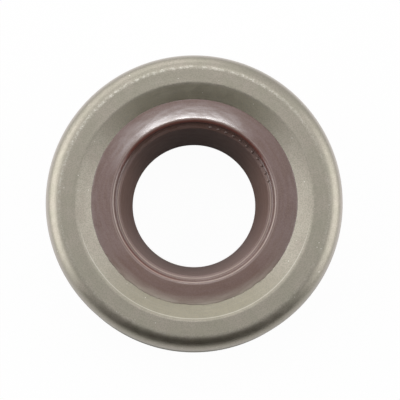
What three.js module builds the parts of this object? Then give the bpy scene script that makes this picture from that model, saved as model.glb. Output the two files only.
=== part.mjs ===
// A rotary shaft oil seal, metal cased, with a bonded rubber lip held in by a garter spring.
// Millimetres, +Z up. The origin is on the shaft's axis, in the plane of the open rim that the seal lies on.
// The closed face is up. The lip leans down and in, towards the open oil side, where the spring sits.
import * as THREE from "three";

// Sizes that a catalogue gives: shaft by housing by width.
const shaftDiameter = 10;
const housingDiameter = 22;
const sealWidth = 7;

// Pressed steel case.
const sheet = 0.75;
const bendRadius = 1.15; // outside of the bend between wall and face
const chamferHeight = 0.8; // lead-in at the open rim
const chamferDepth = 0.2;
const dishWidth = 1.96; // sloping part of the face, measured across
const dishAngle = THREE.MathUtils.degToRad(20);

// Rubber collar, which closes the face around the shaft.
const dishCover = 0.74; // how far the rubber covers the lower edge of the dish
const featherHeight = 0.05; // thickness of the rubber at the edge of that cover
const crestDrop = 0.05; // collar's crest below the flat face
const crestRound = 0.28; // rounding that leads from the collar down to the ledge
const crestMeet = THREE.MathUtils.degToRad(76); // on the crest's round, where the collar's slope joins it
const steelCover = 0.46; // rubber between the collar's crest and the hole in the steel
const ledgeWidth = 0.38; // narrow ledge inside the crest
const ledgeDrop = 0.42; // ledge below the crest
const ledgeSlope = 0.08;

// Sealing lip.
const lipInterference = 0.75; // free lip smaller than the shaft, on diameter
const lipDepth = 4.1; // lip's edge below the flat face
const boreFlare = 0.85; // mouth of the bore wider than the lip, on radius
const lipLand = 0.06; // blunt width of the lip's edge
const oilAngle = THREE.MathUtils.degToRad(45);
const noseDepth = 1.15; // lip's head below its edge
const noseFlat = 0.43; // flat underside of the head
const noseChamfer = 0.16;
const grooveEdge = 0.08; // blunt edge of the head above the spring
const membrane = 0.75; // flexing wall between the head and the collar
const skin = 0.35; // rubber that lines the inside of the case
const skinStop = 1.2; // bare steel left above the open rim
const skinTaper = 0.5;

// Garter spring.
const coilDiameter = 1.24;
const wireDiameter = 0.32;
const coilPitch = 0.43;
const springSeat = 0.72; // rubber between the lip's edge and the spring
const springLift = 0.4; // spring's plane above the lip's edge, towards the face
const grooveClearance = 0.03;
const grooveHalfOpening = THREE.MathUtils.degToRad(80);
const nibTurns = 5; // tapered turns that screw into the other end
const nibTaperTurns = 2;
const jointGap = 0.1; // free wire to wire inside the joint

// Fineness of the facets.
const roundSegments = 72;
const bendSteps = 6;
const grooveSteps = 9;
const sweepSteps = 5;
const wireSides = 5;
const stepsPerTurn = 8;

// Places that follow from the sizes, as radius and height.
const caseRadius = housingDiameter / 2;
const wallRadius = caseRadius - sheet;
const lipRadius = (shaftDiameter - lipInterference) / 2;
const lipZ = sealWidth - lipDepth;
const mouthRadius = lipRadius + boreFlare;
const ledgeRadius = mouthRadius + ledgeWidth;
const crestZ = sealWidth - crestDrop;
const ledgeZ = crestZ - ledgeDrop;
const mouthZ = ledgeZ - ledgeSlope;
const crestRadius = ledgeRadius + crestRound;
const steelHoleRadius = crestRadius + crestRound + steelCover;
const foldRadius = steelHoleRadius + dishWidth;
const sheetUpright = sheet / Math.cos(dishAngle); // thickness of the dish, measured straight down
const innerFoldRadius = foldRadius + sheet * Math.tan(dishAngle / 2);
const springRadius = lipRadius + springSeat + coilDiameter / 2;
const springZ = lipZ + springLift;
const grooveRadius = coilDiameter / 2 + grooveClearance;

/** A point of a section: x is the radius, y the height. */
function at(radius, height) {
  return new THREE.Vector2(radius, height);
}

/** Points on an arc about a centre, from one angle to another, both ends included. */
function arc(centre, radius, from, to, steps) {
  return Array.from({ length: steps + 1 }, (_, i) => {
    const angle = from + ((to - from) * i) / steps;
    return at(centre.x + radius * Math.cos(angle), centre.y + radius * Math.sin(angle));
  });
}

/** Points along a curve that leaves start towards handle and arrives at end, without its two ends. */
function sweep(start, handle, end, steps) {
  return new THREE.QuadraticBezierCurve(start, handle, end).getPoints(steps).slice(1, -1);
}

/** Height of the upper side of the dish at a radius. */
function dishTop(radius) {
  return sealWidth - (foldRadius - radius) * Math.tan(dishAngle);
}

/** A solid of revolution about Z from a section that is listed anticlockwise. */
function turned(section) {
  return new THREE.LatheGeometry([...section, section[0]], roundSegments).rotateX(Math.PI / 2);
}

/** The steel surface that the rubber is bonded to: over the dish's edge, under the face and down the wall. */
function bondedSurface() {
  const coverRadius = steelHoleRadius + dishCover;
  const bendInside = bendRadius - sheet;
  const corner = at(caseRadius - bendRadius, sealWidth - bendRadius);
  return [
    at(coverRadius, dishTop(coverRadius)),
    at(steelHoleRadius, dishTop(steelHoleRadius)),
    at(steelHoleRadius, dishTop(steelHoleRadius) - sheetUpright),
    at(innerFoldRadius, sealWidth - sheet),
    ...arc(corner, bendInside, Math.PI / 2, 0, bendSteps / 2),
    at(wallRadius, skinStop),
  ];
}

/** Section of the pressed case: wall, rolled corner, flat face and the dish that slopes in to its hole. */
function caseSection() {
  const corner = at(caseRadius - bendRadius, sealWidth - bendRadius);
  return [
    at(wallRadius, 0),
    at(caseRadius - chamferDepth, 0),
    at(caseRadius, chamferHeight),
    ...arc(corner, bendRadius, 0, Math.PI / 2, bendSteps),
    at(foldRadius, sealWidth),
    ...bondedSurface(),
  ];
}

/** Collar's upper side, from the bonded edge on the dish to the mouth of the bore. */
function collarLine() {
  const coverRadius = steelHoleRadius + dishCover;
  return [
    at(coverRadius - featherHeight, dishTop(coverRadius) + featherHeight),
    ...arc(at(crestRadius, crestZ - crestRound), crestRound, crestMeet, Math.PI, bendSteps),
    at(ledgeRadius, ledgeZ),
    at(mouthRadius, mouthZ),
  ];
}

/** Lip's edge and the head under it, from the bore round to the lower edge of the spring's groove. */
function lipLine(grooveFoot) {
  const noseZ = lipZ - noseDepth;
  const noseRadius = grooveFoot.x + noseChamfer;
  return [
    at(lipRadius, lipZ),
    at(lipRadius, lipZ - lipLand),
    at(lipRadius + springSeat, lipZ - lipLand - springSeat * Math.tan(oilAngle)),
    at(grooveFoot.x - noseFlat, noseZ),
    at(grooveFoot.x, noseZ),
    at(noseRadius, noseZ + noseChamfer),
    at(noseRadius, grooveFoot.y - noseChamfer),
  ];
}

/** Outer side of the membrane and the lining under the face, from the groove out to the wall. */
function liningLine(grooveTop) {
  const boreSlope = boreFlare / (mouthZ - lipZ);
  const waistZ = grooveTop.y + membrane / 2;
  const waist = at(lipRadius + (waistZ - lipZ) * boreSlope + membrane, waistZ);
  const liningDrop = skin / Math.cos(dishAngle);
  const rootRadius = steelHoleRadius + skin;
  const rootZ = dishTop(rootRadius) - sheetUpright - liningDrop;
  const root = at(rootRadius, rootZ);
  const foldAt = innerFoldRadius + skin * Math.tan(dishAngle / 2);
  return [
    at(grooveTop.x + grooveEdge, grooveTop.y + grooveEdge),
    waist,
    ...sweep(waist, at(waist.x + (rootZ - waistZ) * boreSlope, rootZ), root, sweepSteps),
    root,
    at(foldAt, sealWidth - sheet - skin),
    at(wallRadius - skin, sealWidth - sheet - skin),
    at(wallRadius - skin, skinStop + skinTaper),
  ];
}

/** Section of the rubber: collar, bore, lip, spring groove, membrane and lining, bonded to the case. */
function rubberSection() {
  const groove = arc(
    at(springRadius, springZ),
    grooveRadius,
    2 * Math.PI - grooveHalfOpening,
    grooveHalfOpening,
    grooveSteps,
  );
  return [
    ...collarLine(),
    ...lipLine(groove[0]),
    ...groove,
    ...liningLine(groove[groove.length - 1]),
    ...bondedSurface().reverse(),
  ];
}

/** Centreline of the garter spring's wire: a coil bent into a ring, its tapered end inside its first turns. */
class GarterCoil extends THREE.Curve {
  constructor() {
    super();
    this.ringTurns = Math.round((2 * Math.PI * springRadius) / coilPitch);
    this.turns = this.ringTurns + nibTurns;
    this.coilRadius = (coilDiameter - wireDiameter) / 2;
    this.nibRadius = this.coilRadius - wireDiameter - jointGap / 2;
    this.arcLengthDivisions = this.turns * stepsPerTurn * 2;
  }

  getPoint(t, target = new THREE.Vector3()) {
    const turn = t * this.turns;
    const taper = THREE.MathUtils.smoothstep(turn, this.ringTurns - nibTaperTurns, this.ringTurns);
    const coil = THREE.MathUtils.lerp(this.coilRadius, this.nibRadius, taper);
    const around = (2 * Math.PI * turn) / this.ringTurns;
    const phase = 2 * Math.PI * turn;
    const radius = springRadius + coil * Math.cos(phase);
    return target.set(
      radius * Math.cos(around),
      radius * Math.sin(around),
      springZ + coil * Math.sin(phase),
    );
  }
}

/** The spring's wire as a swept polygon. */
function garterWire() {
  const path = new GarterCoil();
  const section = new THREE.Shape(
    arc(at(0, 0), wireDiameter / 2, 0, 2 * Math.PI, wireSides).slice(0, -1),
  );
  return new THREE.ExtrudeGeometry(section, {
    steps: path.turns * stepsPerTurn,
    bevelEnabled: false,
    extrudePath: path,
  });
}

/** A named mesh in one finish. */
function piece(name, geometry, finish) {
  const mesh = new THREE.Mesh(geometry, new THREE.MeshStandardMaterial(finish));
  mesh.name = name;
  return mesh;
}

const steelFinish = { color: 0x9a9587, roughness: 0.45, metalness: 0.9 };
const rubberFinish = { color: 0x6b534c, roughness: 0.5, metalness: 0 };
const springFinish = { color: 0x8f9092, roughness: 0.3, metalness: 1 };

const seal = new THREE.Group();
seal.add(
  piece("outer_case", turned(caseSection()), steelFinish),
  piece("sealing_lip", turned(rubberSection()), rubberFinish),
  piece("garter_spring", garterWire(), springFinish),
);

export default seal;
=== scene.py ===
"""Looks of a rotary shaft oil seal: a pressed steel case, its bonded rubber lip and the garter spring.

The seal lies on its open rim on a white table with its closed face up. Sections are drawn in millimetres,
as radius and height above the open rim, and a finished mesh is in metres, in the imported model's frame.
"""

import logging
import math
from collections.abc import Callable, Iterable
from dataclasses import dataclass, field
from enum import Enum
from functools import reduce

import bmesh
import bpy
from mathutils import Matrix, Vector, noise

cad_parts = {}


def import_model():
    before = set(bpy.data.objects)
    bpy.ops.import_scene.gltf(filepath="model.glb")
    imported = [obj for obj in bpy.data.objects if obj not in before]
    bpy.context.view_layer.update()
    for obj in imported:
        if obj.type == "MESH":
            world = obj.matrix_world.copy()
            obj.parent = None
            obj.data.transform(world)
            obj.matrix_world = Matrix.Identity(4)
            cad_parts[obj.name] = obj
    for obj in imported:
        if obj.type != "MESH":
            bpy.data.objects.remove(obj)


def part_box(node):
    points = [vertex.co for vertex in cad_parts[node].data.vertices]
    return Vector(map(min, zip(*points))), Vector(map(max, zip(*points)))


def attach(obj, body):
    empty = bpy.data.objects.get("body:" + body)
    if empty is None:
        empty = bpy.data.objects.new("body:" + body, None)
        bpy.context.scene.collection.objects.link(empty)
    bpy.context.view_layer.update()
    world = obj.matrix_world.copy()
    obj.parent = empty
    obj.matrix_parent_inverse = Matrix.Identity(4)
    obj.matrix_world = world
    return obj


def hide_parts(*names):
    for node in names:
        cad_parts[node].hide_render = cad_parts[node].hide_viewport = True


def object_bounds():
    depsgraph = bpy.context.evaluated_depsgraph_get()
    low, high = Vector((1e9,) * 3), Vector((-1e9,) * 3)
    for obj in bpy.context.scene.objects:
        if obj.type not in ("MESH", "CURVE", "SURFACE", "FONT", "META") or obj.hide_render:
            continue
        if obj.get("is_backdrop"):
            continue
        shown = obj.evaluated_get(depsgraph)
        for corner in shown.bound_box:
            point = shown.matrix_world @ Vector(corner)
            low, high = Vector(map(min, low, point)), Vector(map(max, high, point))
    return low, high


Point = tuple[float, float]
Colour = tuple[float, float, float]
Socket = bpy.types.NodeSocket
Value = Socket | float

METRES = 0.001  # one millimetre
log = logging.getLogger("oil_seal")


class Slot(Enum):
    """Finish names: steel case, rubber and spring steel."""

    STEEL = "case_steel"
    RUBBER = "seal_rubber"
    SPRING = "spring_steel"


class Side(Enum):
    """Compass sides of the table as angles from +X in degrees."""

    EAST = 0.0
    NORTH = 90.0
    WEST = 180.0
    SOUTH = 270.0


@dataclass(frozen=True)
class SealSizes:
    """Sizes that the pieces share, in millimetres and radians.

    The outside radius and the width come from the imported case, and the rest are the seal's own.
    """

    case_radius: float
    width: float
    sheet: float = 0.75
    bend: float = 1.15
    chamfer_height: float = 0.8
    chamfer_depth: float = 0.2
    dish_width: float = 1.96
    dish_angle: float = math.radians(20.0)
    dish_crown: float = 0.04
    dish_cover: float = 0.74
    feather: float = 0.02
    crest_drop: float = 0.05
    crest_round: float = 0.28
    crest_meet: float = math.radians(80.0)
    steel_cover: float = 0.46
    ledge_width: float = 0.38
    ledge_drop: float = 0.42
    ledge_slope: float = 0.11
    lip_radius: float = 4.625
    lip_depth: float = 4.1
    bore_flare: float = 0.85
    lip_land: float = 0.06
    oil_angle: float = math.radians(45.0)
    head_depth: float = 1.15
    head_flat: float = 0.43
    head_chamfer: float = 0.16
    groove_edge: float = 0.08
    membrane: float = 0.75
    skin: float = 0.35
    skin_stop: float = 1.2
    skin_taper: float = 0.5
    coil: float = 1.24
    wire: float = 0.32
    coil_pitch: float = 0.43
    spring_seat: float = 0.72
    spring_lift: float = 0.4
    groove_clearance: float = 0.03
    groove_half_opening: float = math.radians(80.0)

    @property
    def wall_radius(self) -> float:
        """Inside of the case's wall."""
        return self.case_radius - self.sheet

    @property
    def lip_height(self) -> float:
        """Height of the sealing edge."""
        return self.width - self.lip_depth

    @property
    def mouth_radius(self) -> float:
        """Upper end of the tapering bore."""
        return self.lip_radius + self.bore_flare

    @property
    def ledge_radius(self) -> float:
        """Outer edge of the ledge, at the foot of the crest."""
        return self.mouth_radius + self.ledge_width

    @property
    def crest_radius(self) -> float:
        """Middle of the collar's crest."""
        return self.ledge_radius + self.crest_round

    @property
    def crest_height(self) -> float:
        """Top of the collar's crest."""
        return self.width - self.crest_drop

    @property
    def hole_radius(self) -> float:
        """Hole in the steel, which the rubber hides."""
        return self.crest_radius + self.crest_round + self.steel_cover

    @property
    def fold_radius(self) -> float:
        """Fold between the flat face and the dish."""
        return self.hole_radius + self.dish_width

    @property
    def cover_radius(self) -> float:
        """Edge of the rubber on the dish."""
        return self.hole_radius + self.dish_cover

    @property
    def inner_fold_radius(self) -> float:
        """The fold on the sheet's underside."""
        return self.fold_radius + self.sheet * math.tan(self.dish_angle / 2)

    @property
    def upright_sheet(self) -> float:
        """Thickness of the dish, measured straight down."""
        return self.sheet / math.cos(self.dish_angle)

    @property
    def spring_radius(self) -> float:
        """Middle of the garter spring."""
        return self.lip_radius + self.spring_seat + self.coil / 2

    @property
    def spring_height(self) -> float:
        """Plane of the garter spring."""
        return self.lip_height + self.spring_lift

    def dish_top(self, radius: float) -> float:
        """Height of the dish's upper side at a radius, with the slight crown that pressing leaves.

        Args:
            radius: Distance from the axis.

        Returns:
            The height.
        """
        share = (radius - self.hole_radius) / self.dish_width
        crown = 4 * self.dish_crown * share * (1 - share)
        return self.width - (self.fold_radius - radius) * math.tan(self.dish_angle) + crown


class SectionPen:
    """Draws the closed section of a turned piece in the XZ plane, then turns it about Z."""

    HOLD = 0.03  # from a straight run's end to the point that keeps its shading flat
    ROUND_STEPS = 6

    def __init__(self) -> None:
        """Starts an empty section."""
        self.mesh = bmesh.new()
        self.start: bmesh.types.BMVert | None = None
        self.tip: bmesh.types.BMVert | None = None
        self.rounded: list[tuple[bmesh.types.BMVert, float]] = []

    def to(self, radius: float, height: float, rounding: float = 0.0) -> "SectionPen":
        """Draws a straight line to a corner, or starts there.

        Args:
            radius: Distance of the corner from the axis.
            height: Height of the corner.
            rounding: Length that the corner's rounding takes from each of its sides.

        Returns:
            The pen itself.
        """
        corner = self.mesh.verts.new((radius, 0.0, height))
        if self.tip is None:
            self.start = corner
        else:
            self.mesh.edges.new((self.tip, corner))
        if rounding > 0.0:
            self.rounded.append((corner, rounding))
        self.tip = corner
        return self

    def around(self, centre: Point, angle: float, steps: int) -> "SectionPen":
        """Draws an arc from the tip.

        Args:
            centre: Middle of the arc, as radius and height.
            angle: Turn in radians, positive from the radius towards the height.
            steps: Number of edges in the arc.

        Returns:
            The pen itself.
        """
        spun = bmesh.ops.spin(
            self.mesh,
            geom=[self.tip],
            cent=(centre[0], 0.0, centre[1]),
            axis=(0.0, -1.0, 0.0),
            angle=angle,
            steps=steps,
        )
        self.tip = next(g for g in spun["geom_last"] if isinstance(g, bmesh.types.BMVert))
        return self

    def along(
        self, height_at: Callable[[float], float], start: float, end: float, steps: int
    ) -> "SectionPen":
        """Draws a curve from the tip, without its first point.

        Args:
            height_at: The curve's height at a radius.
            start: Radius where the curve starts.
            end: Radius where it ends.
            steps: Number of edges in it.

        Returns:
            The pen itself.
        """
        for step in range(1, steps + 1):
            radius = start + (end - start) * step / steps
            self.to(radius, height_at(radius))
        return self

    def close(self) -> None:
        """Joins the tip to the start, rounds the corners and holds the straight runs."""
        self.mesh.edges.new((self.tip, self.start))
        for corner, rounding in self.rounded:
            bmesh.ops.bevel(
                self.mesh,
                geom=[corner],
                offset=rounding,
                offset_type="OFFSET",
                segments=self.ROUND_STEPS,
                profile=0.5,
                affect="VERTICES",
                material=-1,
            )
        for edge in list(self.mesh.edges):
            length = edge.calc_length()
            if length > 4 * self.HOLD:
                edge, vert = bmesh.utils.edge_split(edge, edge.verts[0], self.HOLD / length)
                rest = next(e for e in vert.link_edges if e.calc_length() > 2 * self.HOLD)
                bmesh.utils.edge_split(rest, vert, 1.0 - self.HOLD / rest.calc_length())

    def turned(self, segments: int) -> bmesh.types.BMesh:
        """Turns the section a full circle.

        Args:
            segments: Number of steps round the circle.

        Returns:
            A closed mesh with its faces outwards.
        """
        bmesh.ops.spin(
            self.mesh,
            geom=list(self.mesh.verts) + list(self.mesh.edges),
            cent=(0.0, 0.0, 0.0),
            axis=(0.0, 0.0, 1.0),
            angle=math.tau,
            steps=segments,
            use_merge=True,
        )
        bmesh.ops.recalc_face_normals(self.mesh, faces=list(self.mesh.faces))
        return self.mesh


def finished_piece(name: str, mesh: bmesh.types.BMesh, material: bpy.types.Material) -> bpy.types.Object:
    """Makes an object of a mesh that was drawn in millimetres.

    Args:
        name: The object's name.
        mesh: The drawn mesh, which is freed.
        material: Its finish.

    Returns:
        The object, at the origin, in metres.
    """
    bmesh.ops.scale(mesh, vec=(METRES, METRES, METRES), verts=list(mesh.verts))
    for face in mesh.faces:
        face.smooth = True
    data = bpy.data.meshes.new(name)
    mesh.to_mesh(data)
    mesh.free()
    data.materials.append(material)
    piece = bpy.data.objects.new(name, data)
    bpy.context.scene.collection.objects.link(piece)
    return piece


@dataclass(frozen=True)
class Polar:
    """Place of a point on a turned piece, in millimetres, with the cosine and sine of its angle."""

    radius: Socket
    height: Socket
    cosine: Socket
    sine: Socket


class ShaderSheet:
    """A material's nodes, with short calls for those that the finishes share."""

    NOISE_RANGE: Point = (0.35, 0.65)

    def __init__(self, name: str) -> None:
        """Makes a material with its surface shader.

        Args:
            name: The material's name.
        """
        self.material = bpy.data.materials.new(name)
        self.material.use_nodes = True
        self.nodes = self.material.node_tree.nodes
        self.links = self.material.node_tree.links
        self.surface = next(n for n in self.nodes if n.type == "BSDF_PRINCIPLED")
        self.output = next(n for n in self.nodes if n.type == "OUTPUT_MATERIAL")
        self.place = self.nodes.new("ShaderNodeTexCoord").outputs["Object"]

    def join(self, source: Value | Iterable[float], target: Socket) -> None:
        """Links a socket to another, or writes a constant on it.

        Args:
            source: Socket or constant.
            target: Input that takes it.
        """
        if isinstance(source, Socket):
            self.links.new(source, target)
        else:
            target.default_value = source

    def give(self, name: str, source: Value | Iterable[float]) -> None:
        """Links or writes one of the surface shader's own inputs."""
        self.join(source, self.surface.inputs[name])

    def maths(self, operation: str, first: Value, second: Value = 0.0) -> Socket:
        """A Math node of two values, and its result.

        Args:
            operation: Blender's name of the operation.
            first: First value.
            second: Second value.

        Returns:
            The result.
        """
        node = self.nodes.new("ShaderNodeMath")
        node.operation = operation
        self.join(first, node.inputs[0])
        self.join(second, node.inputs[1])
        return node.outputs[0]

    def total(self, *values: Value) -> Socket:
        """Sum of two or more values."""
        return reduce(lambda first, second: self.maths("ADD", first, second), values)

    def product(self, *values: Value) -> Socket:
        """Product of two or more values."""
        return reduce(lambda first, second: self.maths("MULTIPLY", first, second), values)

    def most(self, *values: Value) -> Socket:
        """Largest of two or more values."""
        return reduce(lambda first, second: self.maths("MAXIMUM", first, second), values)

    def remap(
        self,
        value: Value,
        low: float,
        high: float,
        to_low: float = 0.0,
        to_high: float = 1.0,
        smooth: bool = True,
    ) -> Socket:
        """Maps a value from one range to another, held at both ends.

        Args:
            value: Value to read.
            low: Start of its range.
            high: End of its range.
            to_low: Result at the start.
            to_high: Result at the end.
            smooth: Whether the two ends are eased.

        Returns:
            The mapped value.
        """
        node = self.nodes.new("ShaderNodeMapRange")
        node.interpolation_type = "SMOOTHSTEP" if smooth else "LINEAR"
        self.join(value, node.inputs["Value"])
        ends = {"From Min": low, "From Max": high, "To Min": to_low, "To Max": to_high}
        for name, number in ends.items():
            node.inputs[name].default_value = number
        return node.outputs["Result"]

    def spread(self, noise: Socket, to_low: float = 0.0, to_high: float = 1.0) -> Socket:
        """Stretches noise from the middle of its range to another range."""
        return self.remap(noise, *self.NOISE_RANGE, to_low, to_high)

    def blend(self, share: Value, first: Socket | Colour, second: Socket | Colour) -> Socket:
        """Mixes two colours by a share of the second.

        Args:
            share: Share of the second, from 0 to 1.
            first: Colour at 0.
            second: Colour at 1.

        Returns:
            The mixed colour.
        """
        node = self.nodes.new("ShaderNodeMix")
        node.data_type = "RGBA"
        self.join(share, node.inputs["Factor"])
        for socket, colour in ((node.inputs["A"], first), (node.inputs["B"], second)):
            self.join(colour if isinstance(colour, Socket) else (*colour, 1.0), socket)
        return node.outputs["Result"]

    def speckle(self, size: float, detail: float = 2.0, where: Socket | None = None) -> Socket:
        """Noise of a grain size in millimetres, from about 0.3 to 0.7.

        Args:
            size: Width of one grain.
            detail: Number of finer layers in it.
            where: Coordinates with their own scale, or None for the piece's own place.

        Returns:
            The noise value.
        """
        node = self.nodes.new("ShaderNodeTexNoise")
        node.inputs["Scale"].default_value = 1.0 / (size * METRES) if where is None else 1.0
        node.inputs["Detail"].default_value = detail
        self.join(self.place if where is None else where, node.inputs["Vector"])
        return node.outputs["Fac"]

    def polar(self) -> Polar:
        """Splits the place of a point on a turned piece.

        Returns:
            The place.
        """
        split = self.nodes.new("ShaderNodeSeparateXYZ")
        self.join(self.place, split.inputs[0])
        x, y, z = split.outputs
        radius = self.maths("SQRT", self.total(self.product(x, x), self.product(y, y)))
        return Polar(
            radius=self.maths("DIVIDE", radius, METRES),
            height=self.maths("DIVIDE", z, METRES),
            cosine=self.maths("DIVIDE", x, radius),
            sine=self.maths("DIVIDE", y, radius),
        )

    def near(self, value: Value, middle: float, reach: float) -> Socket:
        """A mask that is 1 where a value meets a middle and 0 at a reach from it."""
        apart = self.maths("ABSOLUTE", self.maths("SUBTRACT", value, middle))
        return self.remap(apart, 0.0, reach, 1.0, 0.0)

    def specks(self, spacing: float, size: float, share: Value) -> Socket:
        """Scattered dots.

        Args:
            spacing: Typical distance between the dots' cells, in millimetres.
            size: Size of a dot as a share of its cell.
            share: Share of the cells that hold a dot.

        Returns:
            A mask that is 1 in the dots.
        """
        cells = self.nodes.new("ShaderNodeTexVoronoi")
        cells.inputs["Scale"].default_value = 1.0 / (spacing * METRES)
        self.join(self.place, cells.inputs["Vector"])
        dot = self.remap(cells.outputs["Distance"], size * 0.5, size, 1.0, 0.0)
        pick = self.nodes.new("ShaderNodeSeparateColor")
        self.join(cells.outputs["Color"], pick.inputs[0])
        return self.product(dot, self.maths("LESS_THAN", pick.outputs[0], share))

    def relief(self, height: Value, depth: float, before: Socket | None = None) -> Socket:
        """Bump of a depth in millimetres, on top of an earlier one.

        Args:
            height: Value from 0 to 1.
            depth: Height that 1 stands for.
            before: Normal that this bump goes on.

        Returns:
            The bumped normal.
        """
        node = self.nodes.new("ShaderNodeBump")
        node.inputs["Distance"].default_value = depth * METRES
        self.join(height, node.inputs["Height"])
        if before is not None:
            self.join(before, node.inputs["Normal"])
        return node.outputs["Normal"]


class TurnedSheet(ShaderSheet):
    """Nodes of a turned piece's material, with the fine grain and the drawn-out streaks that it uses."""

    def __init__(self, name: str, grain: float, streak: Point, detail: float) -> None:
        """Makes the nodes.

        Args:
            name: The material's name.
            grain: Width of a grain in millimetres.
            streak: Width of a streak in millimetres, and streaks in one radian.
            detail: Number of finer layers in the streaks.
        """
        super().__init__(name)
        self.at = self.polar()
        self.grain = self.speckle(grain, 3.0)
        self.streaks = self.speckle(1.0, detail, self.rings(*streak))

    def rings(self, width: float, around: float) -> Socket:
        """Coordinates for a pattern drawn out round the axis.

        Args:
            width: Width of one streak across, in millimetres.
            around: Streaks in one radian.

        Returns:
            The coordinates, which have no seam.
        """
        across = self.maths("DIVIDE", self.maths("SUBTRACT", self.at.radius, self.at.height), width)
        joined = self.nodes.new("ShaderNodeCombineXYZ")
        self.join(self.product(self.at.cosine, around), joined.inputs[0])
        self.join(self.product(self.at.sine, around), joined.inputs[1])
        self.join(across, joined.inputs[2])
        return joined.outputs[0]

    def towards(self, side: float) -> Socket:
        """Cosine of the angle between a point and a side of the seal, which is given from +X in radians."""
        east = self.product(self.at.cosine, math.cos(side))
        return self.total(east, self.product(self.at.sine, math.sin(side)))


@dataclass(frozen=True)
class SteelFinish:
    """Pressed steel with a grey-green satin coat, rubbed brighter at its bends, with a painted glint on the
    roll's north, a painted highlight on the fold, a painted reflection on the outer rim and painted shade
    on the dish. Lengths in millimetres.
    """

    sizes: SealSizes
    olive: Colour = (0.292, 0.276, 0.226)
    rose: Colour = (0.328, 0.296, 0.254)
    dish: Colour = (0.365, 0.341, 0.289)
    # painted shade: darker coat on the dish's north and south, where it faces away from the light
    dish_painted_shade: Colour = (0.276, 0.254, 0.196)
    # bare metal where worn, and also the colour of the painted glint and the painted fold highlight
    bare_metal_and_highlight: Colour = (0.62, 0.60, 0.54)
    # painted reflection: pale colour on the outer wall below the roll, standing in for the white table
    # mirrored there
    rim: Colour = (0.74, 0.68, 0.64)
    patch: float = 1.3
    cloud: float = 0.5
    cloud_depth: float = 0.00175
    grain: float = 0.09
    grain_depth: float = 0.005
    grain_tone: float = 0.82
    grain_share: float = 0.65
    streak: Point = (0.12, 2.5)  # width, and streaks in one radian
    streak_depth: float = 0.00075
    streak_share: float = 0.06
    rim_reflection_band: float = 0.35
    rim_reflection_share: float = 0.62
    rim_reflection_south: float = 0.25
    # painted highlight: a bright line along the dish's fold on the south, where the north lamp would catch
    # it
    fold_highlight_inset: float = 0.19
    fold_highlight_reach: float = 0.05
    fold_highlight_share: float = 0.4
    speck_spacing: float = 0.15
    speck_size: float = 0.3
    speck_share: Point = (0.006, 0.34)  # on the plain face, and where it is rubbed or has the painted glint
    glint_side: float = math.radians(105.0)
    roughness: Point = (0.485, 0.535)
    bend_smoother: float = -0.1
    bare_smoother: float = -0.1

    def material(self) -> bpy.types.Material:
        """Makes the shader.

        Returns:
            The finished material.
        """
        sheet = TurnedSheet("pressed_steel", self.grain, self.streak, 2.0)
        # shine holds real wear and painted highlights
        shine = self.shine(sheet)
        sheet.give("Base Color", sheet.blend(shine, self.coat(sheet), self.bare_metal_and_highlight))
        sheet.give("Metallic", 1.0)
        bend_start = self.sizes.case_radius - self.sizes.bend
        rough = sheet.spread(sheet.speckle(self.cloud, 3.0), *self.roughness)
        pressed = sheet.remap(sheet.at.radius, bend_start, bend_start + 0.4, 0.0, self.bend_smoother)
        sheet.give("Roughness", sheet.total(rough, pressed, sheet.product(shine, self.bare_smoother)))
        soft = sheet.relief(sheet.speckle(self.cloud), self.cloud_depth)
        drawn = sheet.relief(sheet.streaks, self.streak_depth, soft)
        sheet.give("Normal", sheet.relief(sheet.grain, self.grain_depth, drawn))
        return sheet.material

    def coat(self, sheet: TurnedSheet) -> Socket:
        """Colour of the coat, with painted shade on the dish's north and south and a painted reflection of
        the white table on the outer rim.

        Args:
            sheet: The material's nodes.

        Returns:
            The colour.
        """
        s = self.sizes
        patches = sheet.remap(sheet.speckle(self.patch, 4.0), 0.2, 0.8)
        face = sheet.blend(patches, self.olive, self.rose)
        # painted shade on the dish's north and south
        dish_shade_mask = sheet.remap(sheet.product(sheet.at.sine, sheet.at.sine), 0.15, 0.9)
        slope = sheet.blend(dish_shade_mask, sheet.blend(patches, self.dish, self.rose), self.dish_painted_shade)
        on_dish = sheet.remap(sheet.at.radius, s.fold_radius + 0.02, s.fold_radius - 0.25)
        coat = sheet.blend(on_dish, face, slope)
        darker = tuple(channel * self.grain_tone for channel in self.olive)
        coat = sheet.blend(sheet.remap(sheet.grain, 0.6, 0.35, 0.0, self.grain_share), coat, darker)
        coat = sheet.blend(sheet.remap(sheet.streaks, 0.5, 0.8, 0.0, self.streak_share), coat, self.bare_metal_and_highlight)
        bend_foot = s.width - s.bend
        # painted reflection of the white table on the outer wall, weaker on the south
        outside = sheet.product(
            sheet.remap(sheet.at.radius, s.case_radius - self.rim_reflection_band, s.case_radius, 0.0, self.rim_reflection_share),
            sheet.remap(sheet.at.sine, -0.9, -0.1, self.rim_reflection_south, 1.0),
            sheet.remap(sheet.at.height, bend_foot - 0.5, bend_foot + 0.2),
        )
        return sheet.blend(outside, coat, self.rim)

    def shine(self, sheet: TurnedSheet) -> Socket:
        """Mask of bare metal and painted highlights: scattered specks, the rubbed bends with a painted
        glint on the roll's north, and a painted highlight on the dish's fold on the south.

        Args:
            sheet: The material's nodes.

        Returns:
            A value from 0 to 1.
        """
        rubbed_and_glint = self.rubbed_and_glint(sheet)
        share = sheet.remap(rubbed_and_glint, 0.0, 1.0, *self.speck_share)
        dots = sheet.specks(self.speck_spacing, self.speck_size, share)
        worn_and_glint = sheet.product(rubbed_and_glint, sheet.remap(sheet.grain, 0.4, 0.6, 0.2, 0.6))
        # painted highlight along the dish's fold on the south
        fold = sheet.product(
            sheet.near(sheet.at.radius, self.sizes.fold_radius - self.fold_highlight_inset, self.fold_highlight_reach),
            sheet.remap(sheet.at.sine, -0.1, -0.5, 0.0, self.fold_highlight_share),
        )
        return sheet.most(dots, worn_and_glint, fold)

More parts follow.
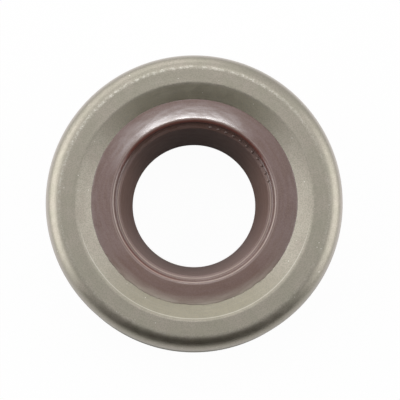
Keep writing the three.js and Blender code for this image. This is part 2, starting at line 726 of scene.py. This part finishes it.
    def rubbed_and_glint(self, sheet: TurnedSheet) -> Socket:
        """Mask of the bends that handling has rubbed, with a painted glint along the roll that is strongest
        towards the north.

        Args:
            sheet: The material's nodes.

        Returns:
            A value from 0 to 1.
        """
        s = self.sizes
        # painted glint: the roll's band is strongest towards the north, where the lamp's glints fall
        side = sheet.remap(sheet.towards(self.glint_side), 0.0, 0.9, 0.25, 1.0)
        roll = sheet.product(sheet.near(sheet.at.radius, s.case_radius - s.bend + 0.1, 0.2), side)
        lead = sheet.near(sheet.at.height, s.chamfer_height, 0.12)
        broken = sheet.remap(sheet.speckle(0.35, 3.0), 0.38, 0.62, 0.2, 1.0)
        return sheet.product(sheet.most(roll, lead), broken)


@dataclass(frozen=True)
class RubberFinish:
    """Brown moulded rubber with a satin bloom and grease on its far side, with painted light and shade: red
    bounce light under the crest, shade on the ledge's north, highlights on the ledge and crest, and light
    on the south.
    """

    sizes: SealSizes
    brown: Colour = (0.146, 0.091, 0.078)
    plum: Colour = (0.162, 0.106, 0.098)
    # painted light: saturated red standing in for light bounced inside the rubber at the crest's foot
    painted_bounce_red: Colour = (0.150, 0.045, 0.034)
    # the rubber's pale bloom, also the colour of the painted light on the south and the painted crest
    # highlight
    bloom_and_painted_light: Colour = (0.30, 0.225, 0.20)
    bore: Colour = (0.150, 0.088, 0.070)
    # painted shade: dark colour for the ledge and crest on the north, where shade falls
    painted_ledge_shade: Colour = (0.042, 0.021, 0.016)
    # painted highlight: pale lines on the ledge standing in for light caught on its edges
    painted_edge_highlight: Colour = (0.42, 0.33, 0.28)
    film: Colour = (0.400, 0.350, 0.300)
    flow: Point = (0.3, 5.0)  # width of a flow line, and lines in one radian
    flow_depth: float = 0.0045
    grain: float = 0.1
    grain_depth: float = 0.003
    bloom_share: float = 0.16
    # painted light: the rubber's south side made lighter, as if lit from the south
    south_painted_light: float = 0.28
    highlight_line_reach: float = 0.07
    edge_highlight_share: float = 0.65
    crest_highlight_share: float = 0.5
    film_reach: float = 0.7
    painted_bounce_side: float = math.radians(233.13)
    painted_bounce_share: float = 0.7
    roughness: Point = (0.12, 0.2)
    bore_roughness: float = 0.35
    ior: float = 1.55
    specular: float = 0.45
    grease_side: float = math.radians(104.0)
    grease_spread: Point = (0.485, 0.970)
    grease_ior: float = 3.0
    grease_roughness: float = 0.25

    def material(self) -> bpy.types.Material:
        """Makes the shader.

        Returns:
            The finished material.
        """
        sheet = TurnedSheet("brown_rubber", self.grain, self.flow, 3.0)
        base = self.ledge_colour(sheet, self.body_colour(sheet))
        thin = sheet.product(self.thin_side(sheet), sheet.remap(sheet.streaks, 0.3, 0.7, 0.6, 1.0))
        sheet.give("Base Color", sheet.blend(thin, base, self.film))
        rough = sheet.spread(sheet.streaks, *self.roughness)
        matt = sheet.product(self.inside(sheet), self.bore_roughness)
        sheet.give("Roughness", sheet.total(rough, matt))
        sheet.give("IOR", self.ior)
        sheet.give("Specular IOR Level", self.specular)
        sheet.give("Coat Weight", self.grease(sheet))
        sheet.give("Coat IOR", self.grease_ior)
        sheet.give("Coat Roughness", self.grease_roughness)
        drawn = sheet.relief(sheet.streaks, self.flow_depth)
        sheet.give("Normal", sheet.relief(sheet.grain, self.grain_depth, drawn))
        return sheet.material

    def body_colour(self, sheet: TurnedSheet) -> Socket:
        """Colour of the moulding, lighter on the south with painted light, and warmer in the bore, whose
        colour is kept off the south so the painted light shows there.

        Args:
            sheet: The material's nodes.

        Returns:
            The colour.
        """
        base = sheet.blend(sheet.spread(sheet.streaks), self.brown, self.plum)
        # painted light on the south side
        painted_south_light = sheet.remap(sheet.at.sine, -0.1, -0.9, 0.0, self.south_painted_light)
        pale = sheet.remap(sheet.grain, 0.35, 0.7, 0.0, self.bloom_share)
        base = sheet.blend(sheet.total(painted_south_light, pale), base, self.bloom_and_painted_light)
        # the bore colour is kept mostly off the south, so the painted light on the south also shows in the
        # bore
        covered = sheet.product(self.inside(sheet), sheet.remap(sheet.at.sine, 0.1, -0.8, 0.9, 0.1))
        return sheet.blend(covered, base, self.bore)

    def ledge_colour(self, sheet: TurnedSheet, base: Socket) -> Socket:
        """Adds painted light and shade to the crest and ledge: red bounce light at the foot, shade on the
        north, and highlights on the ledge's lines and the crest.

        Args:
            sheet: The material's nodes.
            base: Colour below the marks.

        Returns:
            The colour with them.
        """
        s = self.sizes
        # painted red bounce light at the crest's foot, on the north and the southwest
        foot = sheet.near(sheet.at.radius, s.ledge_radius + 0.08, 0.16)
        southwest = sheet.remap(sheet.towards(self.painted_bounce_side), 0.8, 1.0)
        north = sheet.remap(sheet.at.sine, 0.2, 0.6, 0.0, 0.95)
        painted_bounce = sheet.most(north, sheet.product(southwest, self.painted_bounce_share))
        base = sheet.blend(sheet.product(foot, painted_bounce), base, self.painted_bounce_red)
        # painted shade on the ledge's north
        within = sheet.remap(sheet.at.radius, s.crest_radius - 0.05, s.ledge_radius)
        shaded = sheet.product(within, sheet.remap(sheet.at.sine, 0.3, 0.8, 0.0, 0.6))
        base = sheet.blend(shaded, base, self.painted_ledge_shade)
        # painted highlights along the ledge, left off the shaded north
        lines = sheet.most(
            sheet.near(sheet.at.radius, s.mouth_radius + 0.17, self.highlight_line_reach),
            sheet.near(sheet.at.radius, s.ledge_radius + 0.13, self.highlight_line_reach),
        )
        pale = sheet.product(lines, self.edge_highlight_share, sheet.remap(sheet.at.sine, 0.45, 0.1))
        base = sheet.blend(pale, base, self.painted_edge_highlight)
        # painted highlight along the crest's top
        crest = sheet.near(sheet.at.radius, s.crest_radius, self.highlight_line_reach)
        above = sheet.remap(sheet.at.height, s.crest_height - 0.06, s.crest_height)
        return sheet.blend(sheet.product(crest, above, self.crest_highlight_share), base, self.bloom_and_painted_light)

    def inside(self, sheet: TurnedSheet) -> Socket:
        """Mask of the bore and all that lies within it."""
        return sheet.remap(sheet.at.radius, self.sizes.ledge_radius, self.sizes.mouth_radius - 0.1)

    def thin_side(self, sheet: TurnedSheet) -> Socket:
        """Mask of the film on the dish's south, where the rubber thins and the steel shows through.

        Args:
            sheet: The material's nodes.

        Returns:
            A value from 0 to 1.
        """
        cover = self.sizes.cover_radius
        near_edge = sheet.remap(sheet.at.radius, cover - self.film_reach, cover, 0.0, 1.0, smooth=False)
        return sheet.product(near_edge, sheet.remap(sheet.at.sine, -0.45, -0.9))

    def grease(self, sheet: TurnedSheet) -> Socket:
        """Mask of the grease on the collar's far side, which thins from the crest outwards.

        Args:
            sheet: The material's nodes.

        Returns:
            A value from 0 to 1.
        """
        s = self.sizes
        start = s.crest_radius + 0.1
        return sheet.product(
            sheet.remap(sheet.towards(self.grease_side), *self.grease_spread),
            sheet.remap(sheet.at.radius, s.crest_radius, start),
            sheet.remap(sheet.at.radius, start, s.cover_radius, 1.0, 0.0, smooth=False),
            sheet.spread(sheet.streaks, 0.55, 1.0),
            sheet.spread(sheet.grain, 0.7, 1.0),
        )


@dataclass(frozen=True)
class WireFinish:
    """Bright drawn spring wire with fine lines and a little stain. Lengths are in millimetres."""

    bright: Colour = (0.42, 0.42, 0.43)
    stain: Colour = (0.26, 0.24, 0.22)
    stain_size: float = 0.5
    stain_share: float = 0.7
    roughness: Point = (0.2, 0.36)
    roughness_size: float = 0.2
    scratch: float = 0.04
    scratch_depth: float = 0.0015

    def material(self) -> bpy.types.Material:
        """Makes the shader.

        Returns:
            The finished material.
        """
        sheet = ShaderSheet("drawn_wire")
        stain = sheet.remap(sheet.speckle(self.stain_size, 3.0), 0.48, 0.68, 0.0, self.stain_share)
        sheet.give("Base Color", sheet.blend(stain, self.bright, self.stain))
        sheet.give("Metallic", 1.0)
        sheet.give("Roughness", sheet.spread(sheet.speckle(self.roughness_size), *self.roughness))
        sheet.give("Normal", sheet.relief(sheet.speckle(self.scratch), self.scratch_depth))
        return sheet.material


@dataclass(frozen=True)
class PaperFinish:
    """White table top: bright paper that keeps a faint shadow and shows white in the steel's outside, with
    a painted shadow under the seal where reflections see it.
    """

    white: float = 0.86
    roughness: float = 0.9
    fibre: float = 0.4
    fibre_depth: float = 0.01
    glow_share: float = 0.97
    # painted shadow: the glow that reflections find is dim under the seal and full away from it
    shine: Point = (0.15, 1.0)  # what a reflection finds under the seal, and away from it
    shine_share: float = 0.8
    shade_radius: float = 13.0
    shade_edge: float = 2.0

    def material(self) -> bpy.types.Material:
        """Makes the shader.

        Returns:
            The finished material.
        """
        sheet = ShaderSheet("white_paper")
        sheet.give("Base Color", (self.white, self.white, self.white, 1.0))
        sheet.give("Roughness", self.roughness)
        sheet.give("Normal", sheet.relief(sheet.speckle(self.fibre), self.fibre_depth))
        path = sheet.nodes.new("ShaderNodeLightPath")
        seen = path.outputs["Is Camera Ray"]
        radius = sheet.polar().radius
        # painted shadow under the seal, for reflections
        shine = sheet.remap(radius, self.shade_radius, self.shade_radius + self.shade_edge, *self.shine)
        glow = sheet.nodes.new("ShaderNodeEmission")
        sheet.join(sheet.most(shine, seen), glow.inputs["Strength"])
        mirrored = sheet.product(path.outputs["Is Glossy Ray"], self.shine_share)
        mixed = sheet.nodes.new("ShaderNodeMixShader")
        sheet.join(sheet.most(sheet.product(seen, self.glow_share), mirrored), mixed.inputs[0])
        sheet.join(sheet.surface.outputs[0], mixed.inputs[1])
        sheet.join(glow.outputs[0], mixed.inputs[2])
        sheet.join(mixed.outputs[0], sheet.output.inputs["Surface"])
        return sheet.material


def seen_directly(nodes: bpy.types.Nodes, links: bpy.types.NodeLinks) -> Socket:
    """A value that is 1 for what the camera, a reflection or a clear piece shows, and 0 for light.

    Args:
        nodes: Nodes of the world.
        links: Its links.

    Returns:
        The value's socket.
    """
    path = nodes.new("ShaderNodeLightPath")
    seen = path.outputs["Is Camera Ray"]
    for ray in ("Is Glossy Ray", "Is Transmission Ray"):
        either = nodes.new("ShaderNodeMath")
        either.operation = "MAXIMUM"
        links.new(seen, either.inputs[0])
        links.new(path.outputs[ray], either.inputs[1])
        seen = either.outputs[0]
    return seen


def outwards(azimuth: float, elevation: float) -> Vector:
    """Unit vector from the seal, at an azimuth and an elevation in radians."""
    level = math.cos(elevation)
    return Vector((math.cos(azimuth) * level, math.sin(azimuth) * level, math.sin(elevation)))


@dataclass
class OuterCase:
    """Pressed steel case: wall, rolled corner, flat face and the dish that slopes in to its hole."""

    sizes: SealSizes
    segments: int = 360
    fold_rounding: float = 0.07
    edge_rounding: float = 0.05
    bend_steps: int = 18
    dish_steps: int = 18

    def section(self) -> SectionPen:
        """Draws the section, with the bends of the sheet.

        Returns:
            The closed pen.
        """
        s = self.sizes
        bend_at = (s.case_radius - s.bend, s.width - s.bend)
        edge = self.edge_rounding
        pen = SectionPen()
        pen.to(s.wall_radius, 0.0, edge)
        pen.to(s.case_radius - s.chamfer_depth, 0.0, edge)
        pen.to(s.case_radius, s.chamfer_height, 2 * edge)
        pen.to(s.case_radius, bend_at[1])
        pen.around(bend_at, math.pi / 2, self.bend_steps)
        pen.to(s.fold_radius, s.width, self.fold_rounding)
        pen.along(s.dish_top, s.fold_radius, s.hole_radius, self.dish_steps)
        pen.to(s.hole_radius, s.dish_top(s.hole_radius) - s.upright_sheet, edge)
        pen.to(s.inner_fold_radius, s.width - s.sheet, self.fold_rounding)
        pen.to(bend_at[0], s.width - s.sheet)
        pen.around(bend_at, -math.pi / 2, self.bend_steps // 2)
        pen.close()
        return pen

    def build(self) -> bpy.types.Object:
        """Makes the case and sets it in the frame.

        Returns:
            The case.
        """
        mesh = self.section().turned(self.segments)
        piece = finished_piece("steel_case", mesh, SteelFinish(self.sizes).material())
        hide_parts("outer_case")
        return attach(piece, "root")


@dataclass
class SealingLip:
    """One rubber moulding: collar, ledge, bore, sealing edge, spring head, neck and lining in the case."""

    sizes: SealSizes
    segments: int = 400
    collar_steps: int = 24
    crest_steps: int = 14
    groove_steps: int = 32
    bond_steps: int = 8
    edge: float = 0.03
    root_rounding: float = 0.45
    ragged: Point = (0.012, 0.075)  # on the north, and on the south
    ragged_reach: float = 0.2
    ragged_waves: Point = (7.0, 40.0)  # long and short waves in one radian
    short_share: float = 0.6
    pips: int = 11
    pip_radius: float = 0.12
    pip_height: float = 0.6  # share of the pip's radius
    pip_start: float = math.radians(16.0)
    pip_step: float = math.radians(6.2)

    def collar_arc(self) -> tuple[Point, float]:
        """Crown of the collar's slope: it rises from the dish and meets the crest's round.

        Returns:
            The arc's centre and the angle that it turns, from its foot.
        """
        s = self.sizes
        foot = (s.cover_radius - s.feather, s.dish_top(s.cover_radius) + s.feather)
        crest = (s.crest_radius, s.crest_height - s.crest_round)
        meet = (
            crest[0] + s.crest_round * math.cos(s.crest_meet),
            crest[1] + s.crest_round * math.sin(s.crest_meet),
        )
        run, rise = foot[0] - meet[0], meet[1] - foot[1]
        lean = math.pi / 2 - s.crest_meet
        turn = 2 * (math.atan2(rise, run) - lean)
        radius = math.hypot(run, rise) / (2 * math.sin(turn / 2))
        return (meet[0] - radius * math.sin(lean), meet[1] - radius * math.cos(lean)), turn

    def draw_collar(self, pen: SectionPen) -> None:
        """Draws the upper side, from the bonded edge on the dish to the mouth of the bore.

        Args:
            pen: Pen to draw with.
        """
        s = self.sizes
        centre, turn = self.collar_arc()
        pen.to(s.cover_radius - s.feather, s.dish_top(s.cover_radius) + s.feather)
        pen.around(centre, turn, self.collar_steps)
        round_middle = (s.crest_radius, s.crest_height - s.crest_round)
        pen.around(round_middle, math.pi - s.crest_meet, self.crest_steps)
        pen.to(s.ledge_radius, s.crest_height - s.ledge_drop, 4 * self.edge)
        pen.to(s.mouth_radius, s.crest_height - s.ledge_drop - s.ledge_slope, self.edge)

    def draw_head(self, pen: SectionPen) -> None:
        """Draws the bore's edge, the head under it and the groove that holds the spring.

        Args:
            pen: Pen to draw with.
        """
        s = self.sizes
        groove = s.coil / 2 + s.groove_clearance
        foot = (
            s.spring_radius + groove * math.cos(s.groove_half_opening),
            s.spring_height - groove * math.sin(s.groove_half_opening),
        )
        base = s.lip_height - s.head_depth
        oil_side = s.lip_height - s.lip_land - s.spring_seat * math.tan(s.oil_angle)
        pen.to(s.lip_radius, s.lip_height)
        pen.to(s.lip_radius, s.lip_height - s.lip_land)
        pen.to(s.lip_radius + s.spring_seat, oil_side, self.edge)
        pen.to(foot[0] - s.head_flat, base, self.edge)
        pen.to(foot[0], base, self.edge)
        pen.to(foot[0] + s.head_chamfer, base + s.head_chamfer, self.edge)
        pen.to(foot[0] + s.head_chamfer, foot[1] - s.head_chamfer, self.edge)
        pen.to(*foot)
        turn = math.tau - 2 * s.groove_half_opening
        pen.around((s.spring_radius, s.spring_height), -turn, self.groove_steps)

    def draw_lining(self, pen: SectionPen) -> None:
        """Draws the neck behind the groove and the lining under the face and down the wall.

        Args:
            pen: Pen to draw with.
        """
        s = self.sizes
        groove = s.coil / 2 + s.groove_clearance
        top = (
            s.spring_radius + groove * math.cos(s.groove_half_opening),
            s.spring_height + groove * math.sin(s.groove_half_opening),
        )
        bore_slope = s.bore_flare / (s.crest_height - s.ledge_drop - s.ledge_slope - s.lip_height)
        waist_height = top[1] + s.membrane / 2
        waist = s.lip_radius + (waist_height - s.lip_height) * bore_slope + s.membrane
        root_radius = s.hole_radius + s.skin
        root = s.dish_top(root_radius) - s.upright_sheet - s.skin / math.cos(s.dish_angle)
        under = s.width - s.sheet - s.skin
        pen.to(top[0] + s.groove_edge, top[1] + s.groove_edge, self.edge)
        pen.to(waist, waist_height, 2 * self.edge)
        pen.to(waist + (root - waist_height) * bore_slope, root, self.root_rounding)
        pen.to(root_radius, root)
        pen.to(s.inner_fold_radius + s.skin * math.tan(s.dish_angle / 2), under, self.edge)
        pen.to(s.wall_radius - s.skin, under, 3 * self.edge)
        pen.to(s.wall_radius - s.skin, s.skin_stop + s.skin_taper, 2 * self.edge)

    def draw_bond(self, pen: SectionPen) -> None:
        """Draws the side bonded to the steel: up the wall, under the face and over the dish's edge.

        Args:
            pen: Pen to draw with.
        """
        s = self.sizes
        bend_at = (s.case_radius - s.bend, s.width - s.bend)
        pen.to(s.wall_radius, s.skin_stop)
        pen.to(s.wall_radius, bend_at[1])
        pen.around(bend_at, math.pi / 2, self.bond_steps)
        pen.to(s.inner_fold_radius, s.width - s.sheet)
        pen.to(s.hole_radius, s.dish_top(s.hole_radius) - s.upright_sheet)
        pen.to(s.hole_radius, s.dish_top(s.hole_radius))
        pen.along(s.dish_top, s.hole_radius, s.cover_radius, self.bond_steps)

    def fray(self, mesh: bmesh.types.BMesh) -> None:
        """Makes the edge on the dish ragged, as flash is, without lifting it off the steel.

        Args:
            mesh: The turned moulding.
        """
        s = self.sizes
        north_most, south_most = self.ragged
        long_wave, short_wave = self.ragged_waves
        for vert in mesh.verts:
            radius = math.hypot(vert.co.x, vert.co.y)
            inside = s.cover_radius - radius
            if inside > self.ragged_reach or inside < -METRES:
                continue
            if vert.co.z < s.dish_top(radius) - METRES:
                continue
            around = Vector((vert.co.x, vert.co.y, 0.0)) / radius
            wave = noise.fractal(around * long_wave, 1.0, 2.0, 4)
            wave += self.short_share * noise.fractal(around * short_wave, 1.0, 2.0, 2)
            south = min(max(-around.y - 0.3, 0.0) * 2.0, 1.0)
            most = north_most + (south_most - north_most) * south
            shift = most * wave * (1.0 - inside / self.ragged_reach)
            vert.co.x += around.x * shift
            vert.co.y += around.y * shift
            vert.co.z += shift * math.tan(s.dish_angle)

    def add_pips(self, mesh: bmesh.types.BMesh) -> None:
        """Moulds a row of low round pips on the ledge.

        Args:
            mesh: The turned moulding.
        """
        s = self.sizes
        along = (s.ledge_radius + s.mouth_radius) / 2
        height = s.crest_height - s.ledge_drop - s.ledge_slope / 2
        for number in range(self.pips):
            angle = self.pip_start + number * self.pip_step
            place = Vector((along * math.cos(angle), along * math.sin(angle), height))
            dome = Matrix.Translation(place) @ Matrix.Diagonal((1.0, 1.0, self.pip_height, 1.0))
            bmesh.ops.create_uvsphere(
                mesh, u_segments=16, v_segments=10, radius=self.pip_radius, matrix=dome
            )

    def build(self) -> bpy.types.Object:
        """Makes the moulding and sets it in the frame.

        Returns:
            The rubber piece.
        """
        pen = SectionPen()
        self.draw_collar(pen)
        self.draw_head(pen)
        self.draw_lining(pen)
        self.draw_bond(pen)
        pen.close()
        mesh = pen.turned(self.segments)
        self.fray(mesh)
        self.add_pips(mesh)
        piece = finished_piece("rubber_lip", mesh, RubberFinish(self.sizes).material())
        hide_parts("sealing_lip")
        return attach(piece, "root")


@dataclass
class GarterSpring:
    """Close coil of fine wire bent into a ring, its tapered end screwed into its first turns."""

    sizes: SealSizes
    steps_per_turn: int = 24
    nib_turns: int = 5
    nib_taper_turns: int = 2
    joint_gap: float = 0.1

    @property
    def ring_turns(self) -> int:
        """Turns of the coil in the ring, without the nib."""
        return round(math.tau * self.sizes.spring_radius / self.sizes.coil_pitch)

    def centre(self, turn: float) -> Vector:
        """Place of the wire's middle after a number of turns, in metres.

        Args:
            turn: Turns from the coil's start.

        Returns:
            The place.
        """
        s = self.sizes
        full = (s.coil - s.wire) / 2
        nib = full - s.wire - self.joint_gap / 2
        taper_start = self.ring_turns - self.nib_taper_turns
        share = min(max((turn - taper_start) / self.nib_taper_turns, 0.0), 1.0)
        coil = full + (nib - full) * share * share * (3 - 2 * share)
        radius = s.spring_radius + coil * math.cos(math.tau * turn)
        around = math.tau * turn / self.ring_turns
        height = s.spring_height + coil * math.sin(math.tau * turn)
        return Vector((radius * math.cos(around), radius * math.sin(around), height)) * METRES

    def build(self) -> bpy.types.Object:
        """Makes the wire and sets it in the frame.

        Returns:
            The spring.
        """
        count = (self.ring_turns + self.nib_turns) * self.steps_per_turn
        curve = bpy.data.curves.new("spring_path", "CURVE")
        curve.dimensions = "3D"
        curve.bevel_depth = self.sizes.wire / 2 * METRES
        curve.bevel_resolution = 2
        curve.use_fill_caps = True
        path = curve.splines.new("POLY")
        path.points.add(count)
        for step, point in enumerate(path.points):
            point.co = (*self.centre(step / self.steps_per_turn), 1.0)
        wire = bpy.data.objects.new("spring_wire", curve)
        data = bpy.data.meshes.new_from_object(wire)
        bpy.data.objects.remove(wire)
        data.name = "garter_wire"
        data.materials.clear()
        data.materials.append(WireFinish().material())
        piece = bpy.data.objects.new("garter_wire", data)
        bpy.context.scene.collection.objects.link(piece)
        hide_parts("garter_spring")
        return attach(piece, "root")


@dataclass(frozen=True)
class SoftBox:
    """An area lamp on a sphere round the seal, aimed at it.

    Angles are in degrees, the distance in metres, and the strength is what a mirror would show of it.
    """

    name: str
    azimuth: float
    elevation: float
    wide: float
    high: float
    strength: float
    distance: float = 0.6

    def build(self) -> bpy.types.Object:
        """Hangs the lamp.

        Returns:
            The lamp.
        """
        lamp = bpy.data.lights.new(self.name, "AREA")
        lamp.shape = "RECTANGLE"
        lamp.size = 2 * self.distance * math.tan(math.radians(self.wide) / 2)
        lamp.size_y = 2 * self.distance * math.tan(math.radians(self.high) / 2)
        lamp.energy = self.strength * math.pi * lamp.size * lamp.size_y
        out = outwards(math.radians(self.azimuth), math.radians(self.elevation))
        aimed = out.to_track_quat("Z", "Y").to_matrix().to_4x4()
        box = bpy.data.objects.new(self.name, lamp)
        box.matrix_world = Matrix.Translation(out * self.distance) @ aimed
        box.visible_camera = False
        bpy.context.scene.collection.objects.link(box)
        return box


@dataclass
class Studio:
    """White table, soft boxes, the dark side where the photographer stands, and the camera."""

    world_light: float = 0.6
    table_radius: float = 1.5
    dark_radius: float = 0.45
    dark_cloth: Colour = (0.054, 0.043, 0.031)
    dark_wide: float = math.radians(126.0)
    dark_low: float = math.radians(4.0)
    dark_high: float = math.radians(84.0)
    camera_distance: float = 0.150
    lean_south: float = math.radians(5.2)
    lean_west: float = math.radians(0.6)
    aim_offset: Point = (0.41, 0.08)  # from the seal's axis, in millimetres
    focal_length: float = 183.6
    boxes: tuple[SoftBox, ...] = field(
        default=(
            SoftBox("north_lamp", Side.NORTH.value + 2.0, 65.0, 22.0, 3.0, 16.0),
            SoftBox("northwest_box", Side.NORTH.value + 18.0, 18.0, 54.0, 36.0, 1.25),
            SoftBox("west_box", Side.WEST.value + 2.0, 27.0, 76.0, 50.0, 2.1),
            SoftBox("east_box", Side.EAST.value - 6.0, 27.0, 70.0, 50.0, 1.8),
        )
    )

    def world(self) -> None:
        """Makes the world plain white to look at, and a soft fill as light."""
        world = bpy.data.worlds.new("studio")
        world.use_nodes = True
        bpy.context.scene.world = world
        nodes, links = world.node_tree.nodes, world.node_tree.links
        ground = next(n for n in nodes if n.type == "BACKGROUND")
        ground.inputs["Color"].default_value = (1.0, 1.0, 1.0, 1.0)
        level = nodes.new("ShaderNodeMapRange")
        level.inputs["To Min"].default_value = self.world_light
        level.inputs["To Max"].default_value = 1.0
        links.new(seen_directly(nodes, links), level.inputs["Value"])
        links.new(level.outputs["Result"], ground.inputs["Strength"])

    def table(self) -> bpy.types.Object:
        """Lays the white table top.

        Returns:
            The table top.
        """
        mesh = bmesh.new()
        bmesh.ops.create_circle(mesh, cap_ends=True, segments=96, radius=self.table_radius / METRES)
        top = finished_piece("table_top", mesh, PaperFinish().material())
        top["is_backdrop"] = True
        return top

    def dark_side(self) -> bpy.types.Object:
        """Stands a dark curved screen on the photographer's side, which the camera looks through.

        Returns:
            The screen.
        """
        mesh = bmesh.new()
        far = self.dark_radius / METRES
        start = math.radians(Side.SOUTH.value) - self.dark_wide / 2
        foot = mesh.verts.new(outwards(start, self.dark_low) * far)
        sideways = Vector((math.sin(start), -math.cos(start), 0.0))
        bmesh.ops.spin(mesh, geom=[foot], axis=sideways, angle=self.dark_high - self.dark_low, steps=24)
        edge_line = list(mesh.verts) + list(mesh.edges)
        bmesh.ops.spin(mesh, geom=edge_line, axis=(0.0, 0.0, 1.0), angle=self.dark_wide, steps=48)
        sheet = ShaderSheet("dark_cloth")
        sheet.give("Base Color", (*self.dark_cloth, 1.0))
        sheet.give("Roughness", 1.0)
        sheet.give("Specular IOR Level", 0.0)
        screen = finished_piece("dark_screen", mesh, sheet.material)
        screen.visible_camera = False
        screen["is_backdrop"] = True
        return screen

    def camera(self, low: Vector, high: Vector) -> bpy.types.Object:
        """Places the camera as the photograph's was.

        Args:
            low: Lowest corner of the seal.
            high: Highest corner of the seal.

        Returns:
            The camera.
        """
        middle = (low + high) / 2
        east, north = self.aim_offset
        aim = Vector((middle.x + east * METRES, middle.y + north * METRES, high.z))
        lens = bpy.data.cameras.new("camera")
        lens.lens = self.focal_length
        lens.sensor_width = 36.0
        lens.clip_start = 0.01
        camera = bpy.data.objects.new("camera", lens)
        camera.rotation_euler = (self.lean_south, -self.lean_west, 0.0)
        back = camera.rotation_euler.to_matrix() @ Vector((0.0, 0.0, self.camera_distance))
        camera.location = aim + back
        bpy.context.scene.collection.objects.link(camera)
        bpy.context.scene.camera = camera
        return camera

    def build(self, low: Vector, high: Vector) -> None:
        """Sets up everything round the seal.

        Args:
            low: Lowest corner of the seal.
            high: Highest corner of the seal.
        """
        bpy.context.scene.view_settings.view_transform = "Standard"
        self.world()
        self.table()
        self.dark_side()
        for box in self.boxes:
            box.build()
        self.camera(low, high)


def main() -> None:
    """Builds the seal's pieces and the studio, and reports each piece."""
    logging.basicConfig(level=logging.INFO, format="%(name)s: %(message)s")
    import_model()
    cad_low, cad_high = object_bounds()
    case_low, case_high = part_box("outer_case")
    sizes = SealSizes(case_radius=case_high.x / METRES, width=(case_high.z - case_low.z) / METRES)
    for maker in (OuterCase(sizes), SealingLip(sizes), GarterSpring(sizes)):
        piece = maker.build()
        log.info("%s: %d faces", piece.name, len(piece.data.polygons))
    Studio().build(cad_low, cad_high)


if __name__ == "__main__":
    main()
